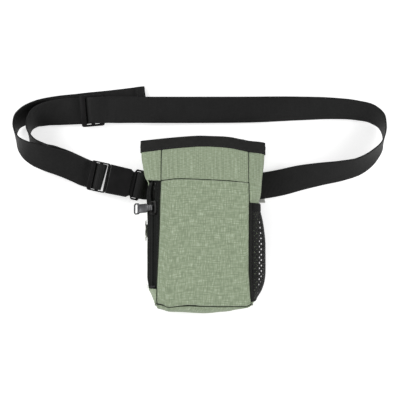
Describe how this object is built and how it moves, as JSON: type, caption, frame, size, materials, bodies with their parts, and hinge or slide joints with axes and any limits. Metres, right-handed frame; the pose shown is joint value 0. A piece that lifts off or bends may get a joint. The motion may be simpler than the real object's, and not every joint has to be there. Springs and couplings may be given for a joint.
{
  "type": "treat pouch",
  "caption": "Soft training treat pouch with a flap mouth, zipped front pocket, mesh side pocket, eyelet and adjustable waist belt with a side-release buckle.",
  "frame": {"origin": "middle of the pouch on its back face, which lies on the ground", "axes": "+Z from the back face to the front face, +Y towards the mouth, +X along the belt's length"},
  "size_m": [0.3489, 0.2142, 0.0422],
  "materials": {
    "green_cloth": "heathered sage green woven polyester with a fine visible weave",
    "lining": "thin grey coated lining cloth",
    "binding": "matte black ribbed binding tape",
    "mesh": "black elastic knitted net",
    "elastic": "black ribbed elastic band",
    "patch_cloth": "pale grey backing cloth",
    "webbing": "smooth black nylon webbing with a soft sheen",
    "zip_tape": "black woven zip tape",
    "zip_coil": "black nylon coil",
    "black_metal": "black painted die-cast slider",
    "pull_metal": "grey burnished metal with worn edges",
    "eyelet_metal": "nickel-plated pressed metal",
    "spring_steel": "cold-rolled spring strip",
    "buckle_plastic": "black moulded acetal with a fine satin texture"
  },
  "bodies": {
    "pouch": {"back_panel": "green_cloth", "bottom_panel": "green_cloth", "left_gusset": "green_cloth", "left_lower_shoulder": "green_cloth", "right_gusset": "green_cloth", "front_pocket_panel": "green_cloth", "main_front_panel": "lining", "back_binding": "binding", "back_spring": "spring_steel", "mesh_pocket_net": "mesh", "mesh_pocket_band": "elastic", "mesh_pocket_piping": "binding", "back_patch": "patch_cloth", "zip_tape_rear": "zip_tape", "zip_tape_front": "zip_tape", "zip_coil_rear": "zip_coil", "zip_coil_front": "zip_coil", "zip_stops": "zip_coil", "eyelet_ring": "eyelet_metal", "eyelet_washer": "eyelet_metal", "buckle_female": "buckle_plastic", "female_tab": "webbing"},
    "flap": {"flap_panel": "green_cloth", "left_flap_fold": "green_cloth", "right_flap_fold": "green_cloth", "front_binding": "binding", "front_spring": "spring_steel"},
    "slider": {"zip_slider": "black_metal"},
    "pull": {"zip_pull": "pull_metal"},
    "belt": {"belt_webbing": "webbing", "tail_hem": "webbing", "tri_glide": "buckle_plastic", "buckle_male": "buckle_plastic"},
    "arm_upper": {"buckle_arm_upper": "buckle_plastic"},
    "arm_lower": {"buckle_arm_lower": "buckle_plastic"}
  },
  "joints": [
    {"name": "mouth_open", "type": "hinge", "parent": "pouch", "child": "flap", "pos_m": [0, 0.041, 0.029], "axis": [1, 0, 0], "range_deg": [0, 32]},
    {"name": "zip_slide", "type": "slide", "parent": "pouch", "child": "slider", "axis": [0, 0.993, -0.118], "range_m": [-0.064, 0.012], "deforming": ["zip_tape_rear", "zip_tape_front", "zip_coil_rear", "zip_coil_front"]},
    {"name": "pull_swing", "type": "hinge", "parent": "slider", "child": "pull", "pos_m": [-0.04957, 0.01575, 0.03009], "axis": [0, 0.993, -0.118], "range_deg": [0, 165]},
    {"name": "buckle_release", "type": "slide", "parent": "pouch", "child": "belt", "axis": [-0.9774, 0.2113, 0], "range_m": [0, 0.027], "deforming": ["buckle_arm_upper", "buckle_arm_lower"]},
    {"name": "arm_upper_squeeze", "type": "hinge", "parent": "belt", "child": "arm_upper", "pos_m": [-0.08871, 0.05173, 0.0055], "axis": [0, 0, -1], "range_deg": [0, 8], "stiffness_Nm_per_rad": 0.15},
    {"name": "arm_lower_squeeze", "type": "hinge", "parent": "belt", "child": "arm_lower", "pos_m": [-0.09252, 0.03414, 0.0055], "axis": [0, 0, 1], "range_deg": [0, 8], "stiffness_Nm_per_rad": 0.15}
  ]
}
